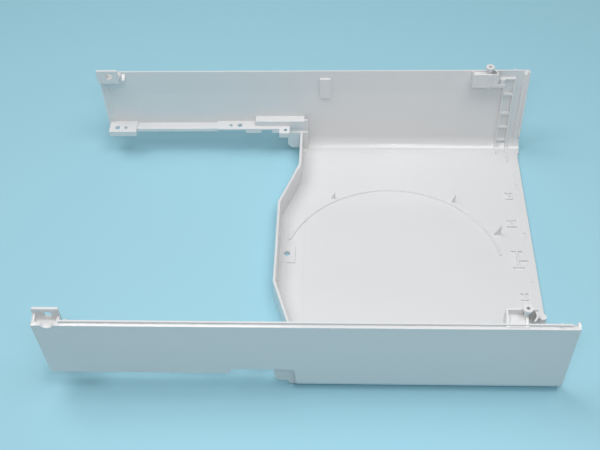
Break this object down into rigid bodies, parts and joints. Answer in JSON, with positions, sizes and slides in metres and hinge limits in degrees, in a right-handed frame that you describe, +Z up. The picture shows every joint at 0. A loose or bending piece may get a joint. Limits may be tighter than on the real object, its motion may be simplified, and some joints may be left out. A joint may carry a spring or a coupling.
{
  "type": "injection moulded plastic housing",
  "caption": "Open plastic housing half: a flat floor and two long side walls that run on as free arms, with rims, catches, screw bosses, ribs and screw ledges.",
  "frame": {"origin": "middle of the housing in plan, at the flat underside of its floor", "axes": "+X along the side walls from the free arms towards the floor's end, +Y across the housing, +Z up out of the open side"},
  "size_m": [0.44, 0.3206, 0.113],
  "materials": {
    "housing": "satin"
  },
  "bodies": {
    "root": {"housing": "housing"}
  },
  "joints": []
}
